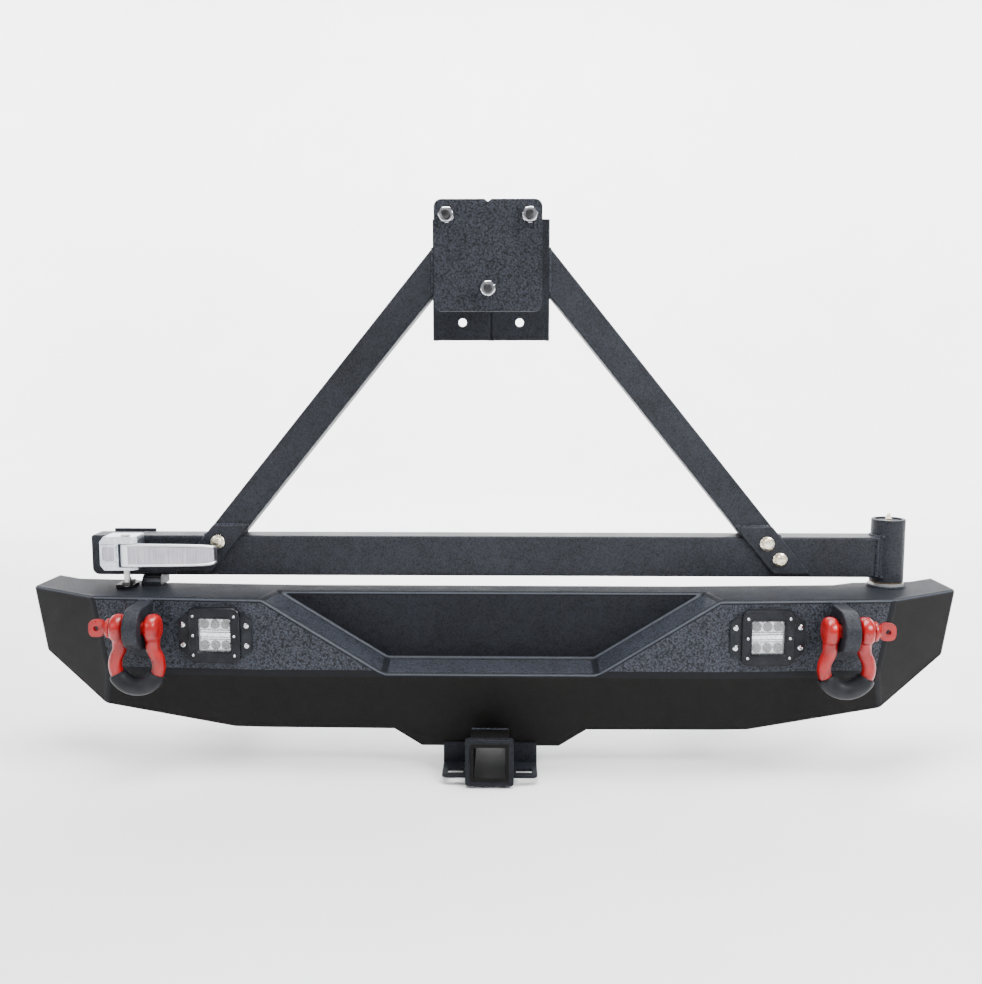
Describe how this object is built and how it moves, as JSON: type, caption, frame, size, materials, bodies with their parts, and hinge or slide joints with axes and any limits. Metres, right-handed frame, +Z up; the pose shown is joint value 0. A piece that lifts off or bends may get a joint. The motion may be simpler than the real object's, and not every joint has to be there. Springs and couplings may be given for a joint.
{
  "type": "swing-away spare tire carrier bumper",
  "caption": "Rear steel bumper with a swing-away spare tire carrier: hinged arm with wheel plate and studs, lever latch, tow receiver, recovery shackles and flush work lights.",
  "frame": {"origin": "centre of the four-hole pattern that bolts the two rear flanges to the vehicle's frame, on the mating plane", "axes": "+Y forward into the vehicle, normal to the flanges' mating plane; +Z up; +X to the hinge side, the right as seen from behind the vehicle"},
  "size_m": [1.604, 0.412, 0.923],
  "materials": {
    "zinc": "yellow-passivated zinc plate",
    "powder_coat": "wrinkled charcoal-black powder coat",
    "brass": "plated brass",
    "bronze": "oiled bronze",
    "bare_steel": "machined steel",
    "cast_alloy": "brushed aluminium",
    "gloss_black": "gloss black",
    "light_body": "satin black die-cast",
    "lens": "clear polycarbonate",
    "reflector": "vacuum-metallised",
    "chrome": "polished chrome",
    "rubber": "matt dark grey rubber",
    "red_paint": "bright red enamel"
  },
  "bodies": {
    "bumper": {"chain_bracket_left": "powder_coat", "chain_bracket_right": "powder_coat", "crossmember": "powder_coat", "frame_bracket_left": "powder_coat", "frame_bracket_right": "powder_coat", "front_panel_left": "powder_coat", "front_panel_right": "powder_coat", "hinge_base_plate": "powder_coat", "hinge_nut": "bare_steel", "hinge_spindle": "bare_steel", "light_bezel_left": "gloss_black", "light_bezel_right": "gloss_black", "light_housing_left": "light_body", "light_housing_right": "light_body", "light_lens_left": "lens", "light_lens_right": "lens", "light_reflector_left": "reflector", "light_reflector_right": "reflector", "light_screws": "bare_steel", "lower_panel": "powder_coat", "receiver_collar": "powder_coat", "receiver_tube": "powder_coat", "recess_tray": "powder_coat", "rest_bracket": "powder_coat", "rest_pad": "rubber", "shackle_tab_left": "powder_coat", "shackle_tab_right": "powder_coat", "striker": "bare_steel", "thrust_washer": "bronze", "top_shelf": "powder_coat", "wing_left": "powder_coat", "wing_right": "powder_coat"},
    "swing_arm": {"hinge_barrel": "powder_coat", "hinge_bushing_upper": "bronze", "hinge_bushing_lower": "bronze", "hinge_cap": "powder_coat", "grease_nipple": "brass", "swing_beam": "powder_coat", "leg_left": "powder_coat", "leg_right": "powder_coat", "arm_bolts": "zinc", "arm_nuts": "zinc", "mount_channel_left": "powder_coat", "mount_channel_right": "powder_coat", "mount_arm": "powder_coat", "tire_plate": "powder_coat", "wheel_studs": "bare_steel", "lug_nuts": "chrome", "latch_housing": "cast_alloy", "latch_bolts": "zinc", "latch_backing_plate": "powder_coat"},
    "latch": {"latch_lever": "cast_alloy", "latch_pin": "bare_steel", "latch_claw": "bare_steel"},
    "shackle_left": {"shackle_bow_left": "red_paint", "shackle_pin_left": "red_paint", "shackle_sleeve_left": "rubber"},
    "shackle_right": {"shackle_bow_right": "red_paint", "shackle_pin_right": "red_paint", "shackle_sleeve_right": "rubber"}
  },
  "joints": [
    {"name": "swing_hinge", "type": "hinge", "parent": "bumper", "child": "swing_arm", "pos_m": [0.69, -0.114, 0.17], "axis": [0, 0, 1], "range_deg": [0, 110]},
    {"name": "latch_pivot", "type": "hinge", "parent": "swing_arm", "child": "latch", "pos_m": [-0.624, -0.174, 0.17], "axis": [0, 0, -1], "range_deg": [0, 75]},
    {"name": "shackle_left_pivot", "type": "hinge", "parent": "bumper", "child": "shackle_left", "pos_m": [-0.575, -0.28, 0.07], "axis": [-1, 0, 0], "range_deg": [-20, 120]},
    {"name": "shackle_right_pivot", "type": "hinge", "parent": "bumper", "child": "shackle_right", "pos_m": [0.575, -0.28, 0.07], "axis": [-1, 0, 0], "range_deg": [-20, 120]}
  ]
}
